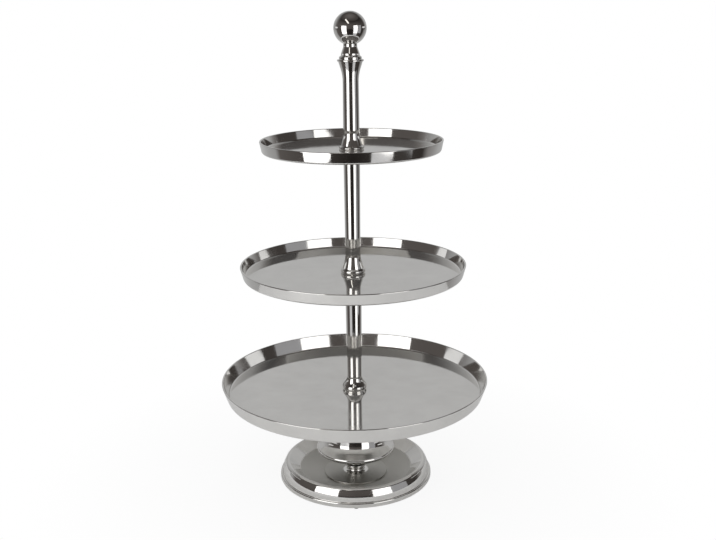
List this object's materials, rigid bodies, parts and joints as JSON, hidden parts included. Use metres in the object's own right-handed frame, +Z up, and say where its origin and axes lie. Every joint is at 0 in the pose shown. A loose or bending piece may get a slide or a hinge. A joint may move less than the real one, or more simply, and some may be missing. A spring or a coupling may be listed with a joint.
{
  "type": "tiered serving stand",
  "caption": "Tiered serving stand in polished metal: round rimmed trays of falling size on turned columns, over a bell pedestal and a dished foot, with a ball finial on the lifting handle.",
  "frame": {"origin": "on the stand's axis, on the surface that it stands on", "axes": "+Z up along the stand's axis; X and Y across it, with a foot pad on each"},
  "size_m": [0.4004, 0.4003, 0.6999],
  "materials": {
    "cast_metal": "mirror polished cast aluminium",
    "tray_metal": "mirror polished spun aluminium sheet, slightly hazed by wear",
    "zinc_steel": "zinc plated threaded steel",
    "felt": "dark felt"
  },
  "bodies": {
    "base": {"foot_pads": "felt", "base_foot": "cast_metal", "pedestal_stem": "cast_metal", "bell_plate": "cast_metal", "pedestal_bell": "cast_metal", "tray_support": "cast_metal", "tie_bolt": "zinc_steel", "bottom_tray": "tray_metal"},
    "lower_washer": {"lower_washer": "zinc_steel"},
    "lower_column": {"lower_column": "cast_metal", "lower_stud": "zinc_steel", "middle_tray": "tray_metal"},
    "middle_washer": {"middle_washer": "zinc_steel"},
    "middle_column": {"middle_column": "cast_metal", "middle_stud": "zinc_steel", "top_tray": "tray_metal"},
    "handle_washer": {"handle_washer": "zinc_steel"},
    "handle": {"handle_column": "cast_metal", "finial_stud": "zinc_steel", "finial_ring": "cast_metal", "finial_neck": "cast_metal", "finial_ball": "cast_metal"}
  },
  "joints": [
    {"name": "lower_lift", "type": "slide", "parent": "base", "child": "lower_washer", "axis": [0, 0, 1], "range_m": [0, 0.0121]},
    {"name": "lower_turn", "type": "hinge", "parent": "lower_washer", "child": "lower_column", "pos_m": [0, 0, 0.1422], "axis": [0, 0, 1], "range_deg": [0, 3456]},
    {"name": "middle_lift", "type": "slide", "parent": "lower_column", "child": "middle_washer", "axis": [0, 0, 1], "range_m": [0, 0.0121]},
    {"name": "middle_turn", "type": "hinge", "parent": "middle_washer", "child": "middle_column", "pos_m": [0, 0, 0.3252], "axis": [0, 0, 1], "range_deg": [0, 3456]},
    {"name": "handle_lift", "type": "slide", "parent": "middle_column", "child": "handle_washer", "axis": [0, 0, 1], "range_m": [0, 0.0121]},
    {"name": "handle_turn", "type": "hinge", "parent": "handle_washer", "child": "handle", "pos_m": [0, 0, 0.5082], "axis": [0, 0, 1], "range_deg": [0, 3456]}
  ],
  "couplings": [
    {"joint": "lower_lift", "follows": "lower_turn", "m_per_rad": 0.00019894},
    {"joint": "middle_lift", "follows": "middle_turn", "m_per_rad": 0.00019894},
    {"joint": "handle_lift", "follows": "handle_turn", "m_per_rad": 0.00019894}
  ]
}
